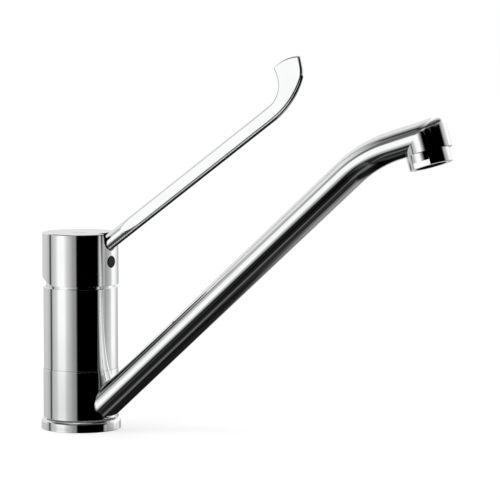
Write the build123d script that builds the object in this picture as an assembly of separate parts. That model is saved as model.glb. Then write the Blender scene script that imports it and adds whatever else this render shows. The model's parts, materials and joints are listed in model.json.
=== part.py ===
from build123d import *
import os
from math import atan2, cos, radians, sin, sqrt, tan

# Single-lever sink mixer with a swivelling cast spout and a long elbow lever.
# Millimetres, +Z up. The origin is the centre of the underside, where the tap stands on the
# worktop. Spout and lever both point along +X in the rest position, which is closed.

# Stacked round body, from the worktop up
base_ring_radius = 26.15
base_ring_height = 7.0
base_ring_round = 2.2
collar_radius = 24.75
collar_bottom = 7.8
collar_top = 39.3
body_radius = 24.4
body_bottom = 40.1
body_top = 93.1
spigot_radius = 17.0
edge_break = 0.45
wall_break = 0.7

# Water ways through the body
inlet_x = -2.0
inlet_y = 9.2
inlet_thread_radius = 5.0
inlet_thread_depth = 9.5
inlet_bore_radius = 4.0
outlet_x = 10.0
outlet_bore_radius = 3.5
water_groove_radius = 14.6
water_groove_bottom = 17.0
water_groove_top = 25.0
stud_x = -9.5
stud_hole_radius = 4.0
stud_hole_depth = 14.5

# Rings that carry and seal the swivelling collar
swivel_clearance = 0.08
o_ring_section = 1.3
o_ring_squeeze = 0.76
o_ring_centres = (12.5, 30.4)
o_ring_running_gap = 0.03
slide_ring_inner = 17.3
slide_ring_outer = 22.6
slide_ring_gap = 0.05
lower_slide_recess = 0.6

# Deck seal, in a groove of the base ring
deck_seal_inner = 20.6
deck_seal_outer = 24.0
deck_seal_height = 2.2

# Cartridge of the 40 mm kind
chamber_radius = 20.15
chamber_floor = 58.0
nut_thread_radius = 22.0
nut_seat = 84.2
cartridge_radius = 20.0
cartridge_foot = 58.2
cartridge_rim = 2.0
cartridge_base_top = 64.2
cartridge_bore_radius = 17.5
fixed_disc_radius = 17.2
disc_thickness = 3.5
disc_gap = 0.05
moving_disc_radius = 12.8
mixing_hollow_radius = 6.2
mixing_hollow_depth = 2.0
mixing_hollow_offset = 4.2
disc_carrier_radius = 12.9
disc_carrier_height = 6.0
guide_flange_bottom = 77.7
guide_flange_top = 80.6
guide_flange_radius = 16.8
guide_neck_radius = 12.6
guide_top = 96.0
guide_lug_bottom = 73.6
guide_lug_inner = 11.35
guide_lug_outer = 14.5
guide_lug_half_length = 6.0
carrier_flat = 11.0
carrier_flat_bottom = 1.5
thrust_washer_top = 81.55
housing_ledge = 81.6
housing_neck_radius = 15.0
housing_top = 95.5
port_radius = 3.6
port_seal_radius = 5.6
port_seal_height = 1.7
locating_pin_radius = 1.6
locating_pin_length = 2.0
locating_pin_circle = 16.0
locating_pin_angles = (-50, 50)

# Lever kinematics
pivot_height = 92.0
lever_lift_angle = 18.0
ball_height = 75.6
ball_radius = 3.4
ball_clearance = 0.4
pin_radius = 2.0
stem_square = 8.0
stem_top = 114.0
stem_rod_radius = 3.0
stem_side_clearance = 0.35
stem_window_rear = -8.2
stem_window_front = 9.4

# Domed nut under the lever cap, a ball round the lever's pivot
dome_radius = 22.95
nut_top = 98.5
nut_recess_radius = 18.5
nut_recess_floor = 95.3
nut_key_slots = 6
nut_slot_reach = 20.7
nut_slot_half_width = 2.0

# Lever cap
cap_radius = 25.0
cap_bottom = 95.0
cap_top = 129.0
cap_skirt_radius = 23.35
cap_bore_radius = 21.8
cap_skirt_top = 102.0
cap_ceiling = 123.3
cap_edge_round = 0.8
cap_heel_start = 4.7
cap_heel_angle = 21.0
cap_slot_radius = 6.75
cap_slot_floor = 118.0
cap_slot_depth_from = 16.0
cap_slot_clearance = 0.45
cap_boss_radius = 9.5
cap_boss_bottom = 101.5
cap_web_radius = 4.4

# Grub screw that clamps the stem, and the plug that hides it
screw_height = 110.6
grub_radius = 2.5
grub_length = 8.0
grub_key = 1.44
grub_key_depth = 3.0
plug_radius = 4.0
plug_depth = 4.0
plug_proud = 0.3

# Screw that holds the lever's tongue under the ceiling, and its cover disc
lever_screw_radius = 3.0
lever_screw_head_radius = 5.6
lever_screw_head_top = 127.8
lever_screw_head_height = 3.0
lever_screw_tip = 118.4
screw_end_gap = 0.4
lever_screw_key = 2.3
lever_screw_key_depth = 2.0
cover_radius = 6.0
cover_bottom = 128.0
cover_proud = 0.1

# Lever: a round rod, pressed flat at its sides, bent upright and flared at its end. Distances
# run along the rod's axis, bends are (radius, angle) of the middle of the rounded edges.
lever_slope = 34.6
lever_start_x = 21.7
lever_start_z = 122.1
rod_radius = 4.95
rod_rear = 11.0
rod_elbow_radius = 14.0
rod_root_front = 16.4
rod_root_top = 123.15
press_half = 3.6
press_begin = 12.0
press_full = 32.0
press_run_radius = 79.0
flare_start = 153.3
flare_outer_bend = (48.0, 36.0)
flare_outer_turn = (9.0, 34.0)
flare_inner_straight = 3.1
flare_inner_bend = (19.66, 81.4)
flare_run_out = 9.0
thinning_heading = 85.0
thinning_rate = 0.054
thinning_reach = 60.0
tip_centre_x = 169.9
tip_centre_z = 217.4
tip_radius = 28.4
tip_inner_round = 2.5
tip_outer_round = 1.0
tool_reach = 240.0
tongue_rear = -7.0
tongue_front = 12.5
tongue_half_width = 4.1
tongue_bottom = 117.3
tongue_top = 123.3
tongue_middle = 120.3

# Spout: an oval tube up from the collar, with a flatter end and a round head
spout_axis_height = -0.35
spout_slope = 40.45
spout_knee_x = 219.3
spout_end_slope = 17.3
spout_bend_radius = 91.0
arm_half_height = 9.25
arm_half_width = 13.35
arm_side_radius = 7.2
arm_top_radius = 17.45
arm_wall = 2.4
collar_port_radius = 4.0

# Spout head and aerator, along the head's own axis
head_seat_x = 260.2
head_axis_drop = 10.1
head_radius = 13.75
head_offset = 1.7
head_top_round = 4.5
head_foot_break = 0.4
head_shoulder = 0.5
head_top_rise = 0.1
head_bore_radius = 9.3
head_bore_top = 13.0
nipple_radius = 11.0
nipple_length = 5.2
aerator_radius = 13.35
aerator_gap = 0.25
aerator_height = 8.3
aerator_lip_radius = 9.5
aerator_lip_height = 1.1
aerator_flat = 12.0
aerator_flat_height = 5.0
aerator_seal_height = 1.0
insert_flange_height = 0.8
insert_radius = 9.0
insert_reach = 9.0
insert_wall = 1.2
insert_crown = 1.5
jet_holes = 8
jet_hole_radius = 0.9
jet_circle = 5.6
middle_jet_radius = 1.0
mesh_height = 0.5


def disc(radius, low, high, x=0.0, y=0.0):
    return Pos(x, y, low) * Cylinder(radius, high - low, align=(Align.CENTER, Align.CENTER, Align.MIN))


def ring(outer, inner, low, high):
    return disc(outer, low, high) - disc(inner, low - 1, high + 1)


def block(x0, x1, y0, y1, z0, z1):
    centre = Pos((x0 + x1) / 2, (y0 + y1) / 2, (z0 + z1) / 2)
    return centre * Box(x1 - x0, y1 - y0, z1 - z0)


def bar_along_x(radius, x0, x1, height):
    # A round bar or bore along X, at one height on the middle plane
    return Pos((x0 + x1) / 2, 0, height) * Rot(0, 90, 0) * Cylinder(radius, x1 - x0)


def circles_at(shape, height):
    return shape.edges().filter_by(GeomType.CIRCLE).filter_by_position(Axis.Z, height - 0.01, height + 0.01)


def widest(edges):
    return edges.sort_by(lambda edge: edge.radius)[-1]


def heading(angle):
    return (cos(radians(angle)), sin(radians(angle)))


def port_places():
    # Cold, hot and mixed water ports; hot is on the left of someone who faces the spout
    return [(inlet_x, inlet_y), (inlet_x, -inlet_y), (outlet_x, 0.0)]


def make_body():
    # Spigot for the collar, round body and open chamber for the cartridge
    body = disc(spigot_radius, 0, body_bottom) + disc(body_radius, body_bottom, body_top)
    body = chamfer(widest(circles_at(body, body_top)), wall_break)
    body = chamfer(widest(circles_at(body, body_bottom)), wall_break)
    body -= disc(chamber_radius, chamber_floor, body_top + 1)
    body -= disc(nut_thread_radius, nut_seat - 0.2, body_top + 1)
    body -= ring(spigot_radius + 1, water_groove_radius, water_groove_bottom, water_groove_top)
    for centre in o_ring_centres:
        groove_floor = spigot_radius - 2 * o_ring_section + 0.05
        half = o_ring_section + 0.1
        body -= ring(spigot_radius + 1, groove_floor, centre - half, centre + half)
    for side in (-1, 1):
        y = side * inlet_y
        body -= disc(inlet_thread_radius, -1, inlet_thread_depth, inlet_x, y)
        body -= disc(inlet_bore_radius, 0, chamber_floor + 1, inlet_x, y)
    port_height = (water_groove_bottom + water_groove_top) / 2
    body -= disc(outlet_bore_radius, port_height - outlet_bore_radius, chamber_floor + 1, outlet_x, 0)
    body -= bar_along_x(outlet_bore_radius, outlet_x, spigot_radius + 1, port_height)
    body -= disc(stud_hole_radius, -1, stud_hole_depth, stud_x, 0)
    hole_floor = chamber_floor - locating_pin_length - 0.3
    for angle in locating_pin_angles:
        pin_hole = disc(locating_pin_radius, hole_floor, chamber_floor + 1, locating_pin_circle, 0)
        body -= Rot(0, 0, angle) * pin_hole
    return body


def make_base_ring():
    # Screws onto the foot of the spigot and keeps the collar on
    base = ring(base_ring_radius, spigot_radius, 0, base_ring_height)
    base = fillet(widest(circles_at(base, base_ring_height)), base_ring_round)
    base = chamfer(widest(circles_at(base, 0)), 0.3)
    base -= ring(deck_seal_outer, deck_seal_inner, -1, deck_seal_height)
    recess_floor = base_ring_height - lower_slide_recess
    base -= disc(slide_ring_outer, recess_floor, base_ring_height + 1)
    base += ring(slide_ring_inner, spigot_radius, recess_floor, base_ring_height)
    return base


def make_deck_seal():
    return ring(deck_seal_outer, deck_seal_inner, 0, deck_seal_height)


def make_slide_rings():
    lower = ring(slide_ring_outer, slide_ring_inner, base_ring_height - lower_slide_recess,
                 collar_bottom - slide_ring_gap)
    upper = ring(slide_ring_outer, slide_ring_inner, collar_top + slide_ring_gap, body_bottom)
    return lower, upper


def make_o_ring(height):
    # Seal ring as its groove squeezes it
    outer = spigot_radius + swivel_clearance - o_ring_running_gap
    seal = ring(outer, outer - 2 * o_ring_section, height - o_ring_section, height + o_ring_section)
    return chamfer(seal.edges().filter_by(GeomType.CIRCLE), o_ring_squeeze)


def spout_path():
    # Centreline from the tap's axis up to the knee and on to the head
    knee = (spout_knee_x, 0, spout_axis_height + spout_knee_x * tan(radians(spout_slope)))
    run = head_seat_x + head_offset - spout_knee_x
    end = (spout_knee_x + run, 0, knee[2] + run * tan(radians(spout_end_slope)))
    start = (0, 0, spout_axis_height)
    return FilletPolyline(start, knee, end, radius=spout_bend_radius)


def oval(inset):
    # Four tangent arcs: tight ones at the sides, flat ones above and below
    side_centre = arm_half_width - arm_side_radius
    top_centre = arm_top_radius - arm_half_height
    side = arm_side_radius - inset
    lean = atan2(top_centre, side_centre)
    x = side_centre + side * cos(lean)
    y = side * sin(lean)
    height = arm_half_height - inset
    width = arm_half_width - inset
    arcs = [
        ThreePointArc((x, -y), (width, 0), (x, y)),
        ThreePointArc((x, y), (0, height), (-x, y)),
        ThreePointArc((-x, y), (-width, 0), (-x, -y)),
        ThreePointArc((-x, -y), (0, -height), (x, -y)),
    ]
    return make_face(Curve() + arcs)


def oval_tube(path, inset):
    # The arm's outside, or its water way with the wall as inset
    start = Plane(path @ 0, x_dir=(0, 1, 0), z_dir=path % 0)
    return sweep(start * oval(inset), path=path)


def head_plane():
    # Seat of the aerator: local Z goes up the head's axis, local X points outwards
    slope = radians(spout_end_slope)
    knee_height = spout_axis_height + spout_knee_x * tan(radians(spout_slope))
    centre_height = knee_height + (head_seat_x - spout_knee_x) * tan(slope)
    seat_height = centre_height - head_axis_drop / cos(slope)
    outward = (cos(slope), 0, sin(slope))
    up = (-sin(slope), 0, cos(slope))
    return Plane((head_seat_x, 0, seat_height), x_dir=outward, z_dir=up)


def make_head():
    # The arm's oval runs on to a round end, with a round barrel below it for the aerator
    barrel = disc(head_radius, 0, head_axis_drop, head_offset, 0)
    barrel = chamfer(circles_at(barrel, head_axis_drop), head_shoulder)
    barrel = chamfer(circles_at(barrel, 0), head_foot_break)
    vault = extrude(Plane.YZ.offset(head_offset) * Pos(0, head_axis_drop) * oval(0), 2 * head_radius)
    top = head_axis_drop + arm_half_height + head_top_rise
    bullet = fillet(circles_at(disc(head_radius, -1, top, head_offset, 0), top), head_top_round)
    return barrel + (vault & bullet)


def make_spout():
    # One casting: collar, arm, head and the threaded nipple for the aerator
    path = spout_path()
    collar = disc(collar_radius, collar_bottom, collar_top)
    collar = chamfer(circles_at(collar, collar_top), wall_break)
    collar = chamfer(circles_at(collar, collar_bottom), edge_break)
    arm = oval_tube(path, 0)
    arm -= disc(spigot_radius + 3, -20, 60)
    arm -= disc(base_ring_radius + 0.5, -20, collar_bottom)
    spout = collar + arm
    seat = head_plane()
    spout += seat * make_head()
    spout += seat * disc(nipple_radius, -nipple_length, 1)
    bore = oval_tube(path, arm_wall)
    bore -= disc(collar_radius - 2, -20, 60)
    port_height = (water_groove_bottom + water_groove_top) / 2
    bore += bar_along_x(collar_port_radius, spigot_radius - 1, collar_radius + 1, port_height)
    spout -= bore
    spout -= seat * disc(head_bore_radius, -nipple_length - 1, head_bore_top)
    spout -= disc(spigot_radius + swivel_clearance, collar_bottom - 1, collar_top + 1)
    return spout


def make_aerator_ring():
    # Screwed over the nipple, with two spanner flats at its foot
    high = -aerator_gap
    low = -aerator_height
    shell = disc(aerator_radius, low, high)
    shell = chamfer(circles_at(shell, high), 0.35)
    shell = fillet(circles_at(shell, low), 0.5)
    shell -= disc(nipple_radius, low + aerator_lip_height, high + 1)
    shell -= disc(aerator_lip_radius, low - 1, high + 1)
    for side in (-1, 1):
        face = side * aerator_flat
        outer = side * (aerator_radius + 1)
        flat = block(-aerator_radius, aerator_radius, min(face, outer), max(face, outer),
                     low - 1, low + aerator_flat_height)
        shell -= flat
    return head_plane() * shell


def make_aerator_seal():
    high = -nipple_length
    return head_plane() * ring(nipple_radius - 0.2, head_bore_radius - 0.2, high - aerator_seal_height, high)


def make_aerator_insert():
    # Plastic cup with jet holes in its crown, hung by its flange under the seal
    flange_top = -nipple_length - aerator_seal_height
    flange_low = flange_top - insert_flange_height
    cup = disc(nipple_radius - 0.2, flange_low, flange_top)
    cup += disc(insert_radius, flange_low, flange_low + insert_reach)
    cup -= disc(insert_radius - insert_wall, flange_low - 1, flange_low + insert_reach - insert_crown)
    for index in range(jet_holes):
        hole = disc(jet_hole_radius, flange_low, flange_low + insert_reach + 1, jet_circle, 0)
        cup -= Rot(0, 0, index * 360 / jet_holes) * hole
    cup -= disc(middle_jet_radius, flange_low, flange_low + insert_reach + 1)
    return head_plane() * cup


def make_aerator_mesh():
    # Stack of fine screens across the mouth
    flange_low = -nipple_length - aerator_seal_height - insert_flange_height
    return head_plane() * disc(insert_radius - insert_wall - 0.05, flange_low, flange_low + mesh_height)


def make_cartridge_base():
    # Plastic foot of the cartridge with three ports and two locating pins
    base = disc(cartridge_bore_radius, cartridge_foot, cartridge_base_top)
    base += disc(cartridge_radius, cartridge_foot, cartridge_foot + cartridge_rim)
    for x, y in port_places():
        base -= disc(port_radius, chamber_floor - 1, cartridge_base_top + 1, x, y)
        base -= disc(port_seal_radius, chamber_floor - 1, chamber_floor + port_seal_height, x, y)
    pin_low = chamber_floor - locating_pin_length
    for angle in locating_pin_angles:
        pin = disc(locating_pin_radius - 0.1, pin_low, chamber_floor + 1, locating_pin_circle, 0)
        base += Rot(0, 0, angle) * pin
    return base


def make_port_seal(x, y):
    seal = disc(port_seal_radius, chamber_floor, chamber_floor + port_seal_height, x, y)
    return seal - disc(port_radius, chamber_floor - 1, chamber_floor + port_seal_height + 1, x, y)


def fixed_disc_top():
    return cartridge_base_top + disc_thickness


def make_fixed_disc():
    plate = disc(fixed_disc_radius, cartridge_base_top, fixed_disc_top())
    for x, y in port_places():
        plate -= disc(port_radius - 0.4, cartridge_base_top - 1, fixed_disc_top() + 1, x, y)
    return plate


def disc_offset():
    # The moving disc rests half a stroke behind the axis
    return -(pivot_height - ball_height) * sin(radians(lever_lift_angle)) / 2


def moving_disc_bottom():
    return fixed_disc_top() + disc_gap


def make_moving_disc():
    # Mixing hollow in the underside joins the ports as the disc slides
    low = moving_disc_bottom()
    high = low + disc_thickness
    plate = disc(moving_disc_radius, low, high, disc_offset(), 0)
    hollow_centre = disc_offset() + mixing_hollow_offset
    return plate - disc(mixing_hollow_radius, low - 1, low + mixing_hollow_depth, hollow_centre, 0)


def make_disc_carrier():
    low = moving_disc_bottom() + disc_thickness
    high = low + disc_carrier_height
    carrier = disc(disc_carrier_radius, low, high, disc_offset(), 0)
    carrier = chamfer(circles_at(carrier, high), 0.6)
    for side in (-1, 1):
        face = side * carrier_flat
        outer = side * (disc_carrier_radius + 1)
        carrier -= block(-30, 30, min(face, outer), max(face, outer), low + carrier_flat_bottom, high + 1)
    return carrier - disc(ball_radius + ball_clearance, low + 0.4, high + 1)


def make_cartridge_housing():
    # Plastic cup over discs and guide, with a neck for the guide
    housing = disc(cartridge_radius, cartridge_foot + cartridge_rim + 0.05, nut_seat)
    housing += disc(housing_neck_radius, nut_seat, housing_top)
    housing = chamfer(widest(circles_at(housing, housing_top)), 0.5)
    housing -= disc(cartridge_bore_radius, chamber_floor, housing_ledge)
    housing -= disc(guide_neck_radius + 0.08, housing_ledge - 1, housing_top + 1)
    return housing


def make_thrust_washer():
    return ring(guide_flange_radius, guide_neck_radius + 0.4, guide_flange_top + 0.05, thrust_washer_top)


def stem_window():
    half = stem_square / 2 + stem_side_clearance
    return block(stem_window_rear, stem_window_front, -half, half, guide_flange_bottom - 1, guide_top + 1)


def make_stem_guide():
    # Turns in the housing's neck and carries the pivot pin
    guide = disc(guide_flange_radius, guide_flange_bottom, guide_flange_top)
    guide += disc(guide_neck_radius, guide_flange_top, guide_top)
    guide = chamfer(circles_at(guide, guide_top), 0.5)
    guide -= stem_window()
    # Two lugs turn the disc carrier and let it slide
    half = guide_lug_half_length
    for side in (-1, 1):
        near = side * guide_lug_inner
        far = side * guide_lug_outer
        guide += block(-half, half, min(near, far), max(near, far),
                       guide_lug_bottom, guide_flange_bottom + 0.5)
    pin_bore = Pos(0, 0, pivot_height) * Rot(90, 0, 0) * Cylinder(pin_radius, 2 * guide_neck_radius + 2)
    return guide - pin_bore


def make_pivot_pin():
    length = 2 * (guide_neck_radius - 0.8)
    return Pos(0, 0, pivot_height) * Rot(90, 0, 0) * Cylinder(pin_radius, length)


def make_stem():
    # Square above the pivot for the cap, round below with a ball for the disc carrier
    half = stem_square / 2
    stem = block(-half, half, -half, half, pivot_height - 5, stem_top)
    stem = chamfer(stem.edges().filter_by_position(Axis.Z, stem_top - 0.01, stem_top + 0.01), 0.6)
    stem += disc(stem_rod_radius, ball_height, pivot_height - 4)
    stem += Pos(0, 0, ball_height) * Sphere(ball_radius)
    eye = Pos(0, 0, pivot_height) * Rot(90, 0, 0) * Cylinder(pin_radius + 0.06, stem_square + 2)
    return stem - eye


def make_cartridge_nut():
    # Threads into the body, presses the cartridge down and shows as a dome in the joint
    nut = disc(nut_thread_radius, nut_seat, body_top + 0.5)
    dome = (Pos(0, 0, pivot_height) * Sphere(dome_radius)) & disc(cap_radius, body_top, nut_top)
    nut += dome
    nut -= disc(housing_neck_radius + 0.05, nut_seat - 1, nut_top + 1)
    nut -= disc(nut_recess_radius, nut_recess_floor, nut_top + 1)
    for index in range(nut_key_slots):
        slot = block(nut_recess_radius - 1, nut_slot_reach, -nut_slot_half_width, nut_slot_half_width,
                     nut_recess_floor, nut_top + 1)
        nut -= Rot(0, 0, index * 360 / nut_key_slots) * slot
    return nut


def heel_cut():
    # The rear of the skirt is cut at a slant, so that the cap can tip back
    heel = block(-60, 0, -40, 40, -40, 0)
    return Pos(-cap_heel_start, 0, cap_bottom) * Rot(0, cap_heel_angle, 0) * heel


def side_plane(x, z, angle):
    # Local X points along a heading in the side view, local Y points across
    across, up = heading(angle)
    return Plane((x, 0, z), x_dir=(across, 0, up), z_dir=(-up, 0, across))


def lever_passage():
    # Bore round the sloping rod where it leaves the cap
    mouth = side_plane(lever_start_x, lever_start_z, lever_slope)
    return mouth * Rot(0, 90, 0) * Cylinder(rod_radius + cap_slot_clearance, 14)


def countersink(top_radius, low):
    upright = (Align.CENTER, Align.CENTER, Align.MIN)
    return Pos(0, 0, low) * Cone(lever_screw_radius, top_radius, lever_screw_head_height, align=upright)


def make_lever_cap():
    cap = disc(cap_radius, cap_bottom, cap_top)
    cap = fillet(circles_at(cap, cap_top), cap_edge_round)
    cap = chamfer(circles_at(cap, cap_bottom), edge_break)
    cap -= heel_cut()
    inside = disc(cap_skirt_radius, cap_bottom - 1, cap_skirt_top)
    inside += disc(cap_bore_radius, cap_skirt_top - 1, cap_ceiling)
    boss = disc(cap_boss_radius, cap_boss_bottom, cap_ceiling)
    web = bar_along_x(cap_web_radius, 0, cap_bore_radius + 1, screw_height)
    inside -= boss + web
    cap -= inside
    # U slot for the lever through the front wall, and the channel for its tongue
    slot_centre = cap_slot_floor + cap_slot_radius
    slot = bar_along_x(cap_slot_radius, cap_slot_depth_from, cap_radius + 1, slot_centre)
    slot += block(cap_slot_depth_from, cap_radius + 1, -cap_slot_radius, cap_slot_radius,
                  slot_centre, cap_top + 1)
    cap -= slot
    cap -= lever_passage()
    half = tongue_half_width + 0.1
    cap -= block(tongue_rear - 0.1, cap_boss_radius + 1, -half, half, tongue_bottom - 0.1, cap_ceiling)
    # Square socket for the stem, and the screw and plug bores in front of it
    socket = stem_square / 2 + 0.05
    cap -= block(-socket, socket, -socket, socket, cap_boss_bottom - 1, stem_top + 0.1)
    cap -= bar_along_x(grub_radius, 0, cap_radius + 1, screw_height)
    cap -= bar_along_x(plug_radius, cap_radius - plug_depth, cap_radius + 1, screw_height)
    # Screw hole, countersink and seat of the cover disc on the axis
    cap -= disc(lever_screw_radius + 0.2, cap_ceiling - 1, cap_top + 1)
    sink_low = lever_screw_head_top - lever_screw_head_height
    cap -= countersink(lever_screw_head_radius + 0.1, sink_low)
    cap -= disc(cover_radius, cover_bottom - 0.2, cap_top + 1)
    return cap


def rod_point(distance):
    across, up = heading(lever_slope)
    return (lever_start_x + distance * across, lever_start_z + distance * up)


def round_bar(edges):
    path = Wire(Plane.XZ * edge for edge in edges)
    return sweep(Plane(path @ 0, z_dir=path % 0) * Circle(rod_radius), path=path)


def run_out(bend):
    return Line(bend @ 1, (bend @ 1) + (bend % 1) * flare_run_out)


def press_opening(distance):
    # Half the space between the press tools, wider on their run-in arc
    reach = press_full - distance
    return press_half + press_run_radius - sqrt(press_run_radius ** 2 - reach ** 2)


def pressed_space():
    # Space between the two press tools: a run-in arc, then two flats along the rod
    begin = (press_begin, press_opening(press_begin))
    half_way = (press_begin + press_full) / 2
    outline = [
        Line((-tool_reach, 0), (-tool_reach, begin[1])),
        Line((-tool_reach, begin[1]), begin),
        ThreePointArc(begin, (half_way, press_opening(half_way)), (press_full, press_half)),
        Line((press_full, press_half), (tool_reach, press_half)),
        Line((tool_reach, press_half), (tool_reach, 0)),
        Line((tool_reach, 0), (-tool_reach, 0)),
    ]
    face = side_plane(lever_start_x, lever_start_z, lever_slope) * make_face(Curve() + outline)
    space = extrude(face, tool_reach, both=True)
    return space + mirror(space, Plane.XZ)


def thinning_wedge():
    # The flats close in on each other over the bend
    rear = press_half + tool_reach * thinning_rate
    front = press_half - thinning_reach * thinning_rate
    outline = Polyline((-tool_reach, -rear), (-tool_reach, rear), (thinning_reach, front),
                       (thinning_reach, -front), close=True)
    return extrude(side_plane(*rod_point(flare_start), thinning_heading) * make_face(outline),
                   tool_reach, both=True)


def tip_corners(flare):
    # Edges across the thickness at both ends of the end face
    end = flare.faces().sort_by(Axis.Z)[-1]
    return end.edges().filter_by(lambda edge: abs((edge @ 0).Y - (edge @ 1).Y) > 1).sort_by(Axis.X)


def make_flare():
    # Two round edges that part, with the metal pressed flat between them
    start = rod_point(flare_start)
    outer = JernArc(start, heading(lever_slope), *flare_outer_bend)
    turn = JernArc(outer @ 1, outer % 1, *flare_outer_turn)
    straight = Line(start, rod_point(flare_start + flare_inner_straight))
    inner = JernArc(straight @ 1, straight % 1, *flare_inner_bend)
    outer_end = run_out(turn)
    inner_end = run_out(inner)
    web_corners = [outer @ 0.3, outer @ 0.5, outer @ 0.75, outer @ 1, turn @ 1, outer_end @ 1]
    web_corners += [inner_end @ 1, inner @ 1, inner @ 0.8, inner @ 0.6, inner @ 0.4, inner @ 0.25]
    web = extrude(Plane.XZ * make_face(Polyline(*web_corners, close=True)), 0.9 * rod_radius, both=True)
    space = pressed_space() & thinning_wedge()
    pieces = [round_bar([outer, turn, outer_end]), round_bar([straight, inner, inner_end]), web]
    flare = Part() + [piece & space for piece in pieces]
    flare &= Pos(tip_centre_x, 0, tip_centre_z) * Rot(90, 0, 0) * Cylinder(tip_radius, 2 * rod_radius)
    flare = fillet(tip_corners(flare)[0], tip_inner_round)
    return fillet(tip_corners(flare)[-1], tip_outer_round)


def make_lever():
    # Tongue under the cap's ceiling, an elbow in the slot, then the rod and its flared end
    elbow_x = lever_start_x - (lever_start_z - tongue_middle) / tan(radians(lever_slope))
    stops = [(rod_rear, tongue_middle), (elbow_x, tongue_middle), rod_point(flare_start)]
    rod = round_bar(FilletPolyline(*stops, radius=rod_elbow_radius).edges())
    rod -= block(rod_rear - 1, rod_root_front, -rod_radius, rod_radius, rod_root_top, cap_top)
    tongue = block(tongue_rear, tongue_front, -tongue_half_width, tongue_half_width,
                   tongue_bottom, tongue_top)
    lever = tongue + (rod & pressed_space()) + make_flare()
    lever -= disc(lever_screw_radius, lever_screw_tip, tongue_top + 1)
    return lever


def make_lever_screw():
    # Countersunk screw with a hexagon socket
    head_low = lever_screw_head_top - lever_screw_head_height
    screw = disc(lever_screw_radius, lever_screw_tip + screw_end_gap, head_low + 0.5)
    screw += countersink(lever_screw_head_radius, head_low)
    socket_floor = Pos(0, 0, lever_screw_head_top - lever_screw_key_depth)
    socket = extrude(socket_floor * RegularPolygon(lever_screw_key, 6), lever_screw_key_depth + 1)
    return screw - socket


def make_cover_disc():
    cover = disc(cover_radius - 0.05, cover_bottom - 0.2, cap_top + cover_proud)
    return fillet(circles_at(cover, cap_top + cover_proud), 0.15)


def make_grub_screw():
    start = stem_square / 2
    screw = bar_along_x(grub_radius, start, start + grub_length, screw_height)
    socket_floor = Plane.YZ.offset(start + grub_length - grub_key_depth) * Pos(0, screw_height)
    socket = extrude(socket_floor * RegularPolygon(grub_key, 6), grub_key_depth + 1)
    return screw - socket


def make_index_plug():
    # Round plug in the front of the cap, over the grub screw
    plug = bar_along_x(plug_radius - 0.02, cap_radius - plug_depth, cap_radius + plug_proud, screw_height)
    front = plug.edges().sort_by(Axis.X)[-1]
    return fillet(front, 0.3)


def build_parts():
    lower_slide, upper_slide = make_slide_rings()
    parts = {
        "body": make_body(),
        "base_ring": make_base_ring(),
        "deck_seal": make_deck_seal(),
        "lower_slide_ring": lower_slide,
        "upper_slide_ring": upper_slide,
        "lower_o_ring": make_o_ring(o_ring_centres[0]),
        "upper_o_ring": make_o_ring(o_ring_centres[1]),
        "cartridge_base": make_cartridge_base(),
        "fixed_disc": make_fixed_disc(),
        "cartridge_housing": make_cartridge_housing(),
        "thrust_washer": make_thrust_washer(),
        "cartridge_nut": make_cartridge_nut(),
        "moving_disc": make_moving_disc(),
        "disc_carrier": make_disc_carrier(),
        "stem_guide": make_stem_guide(),
        "pivot_pin": make_pivot_pin(),
        "stem": make_stem(),
        "lever_cap": make_lever_cap(),
        "lever": make_lever(),
        "lever_screw": make_lever_screw(),
        "cover_disc": make_cover_disc(),
        "grub_screw": make_grub_screw(),
        "index_plug": make_index_plug(),
        "spout": make_spout(),
        "aerator_ring": make_aerator_ring(),
        "aerator_seal": make_aerator_seal(),
        "aerator_insert": make_aerator_insert(),
        "aerator_mesh": make_aerator_mesh(),
    }
    for name, place in zip(("cold_port_seal", "hot_port_seal", "outlet_port_seal"), port_places()):
        parts[name] = make_port_seal(*place)
    return parts


os.makedirs("parts", exist_ok=True)
for node, shape in build_parts().items():
    export_step(shape, f"parts/{node}.step")
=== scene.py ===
import bmesh
import bpy
import json
from math import asin, cos, pi, radians, sin, sqrt, tan
from mathutils import Matrix, Vector


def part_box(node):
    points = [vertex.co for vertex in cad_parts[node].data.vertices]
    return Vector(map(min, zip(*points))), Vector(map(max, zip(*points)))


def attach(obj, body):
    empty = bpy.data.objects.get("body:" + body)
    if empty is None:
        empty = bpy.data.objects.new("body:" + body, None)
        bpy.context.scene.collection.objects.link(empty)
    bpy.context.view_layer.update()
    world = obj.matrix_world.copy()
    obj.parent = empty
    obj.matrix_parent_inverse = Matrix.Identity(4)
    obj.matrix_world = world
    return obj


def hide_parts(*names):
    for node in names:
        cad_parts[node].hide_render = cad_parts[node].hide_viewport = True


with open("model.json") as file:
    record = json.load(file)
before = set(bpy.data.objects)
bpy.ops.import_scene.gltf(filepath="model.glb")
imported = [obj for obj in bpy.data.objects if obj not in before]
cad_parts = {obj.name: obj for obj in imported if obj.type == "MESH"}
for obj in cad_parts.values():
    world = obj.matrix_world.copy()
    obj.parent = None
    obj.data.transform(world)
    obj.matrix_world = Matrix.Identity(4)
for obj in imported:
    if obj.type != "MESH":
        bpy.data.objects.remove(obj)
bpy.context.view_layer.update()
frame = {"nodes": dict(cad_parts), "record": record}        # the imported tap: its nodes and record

mm = 0.001               # pieces are modelled in millimetres and scaled when they are finished
past = 1.0               # how far a cutting or joining shape reaches past the face that it meets
print("frame loaded:", len(frame["nodes"]), "nodes")


def topCorner(node):
    # Highest corner of a CAD node, in millimetres
    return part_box(node)[1] / mm


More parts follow.
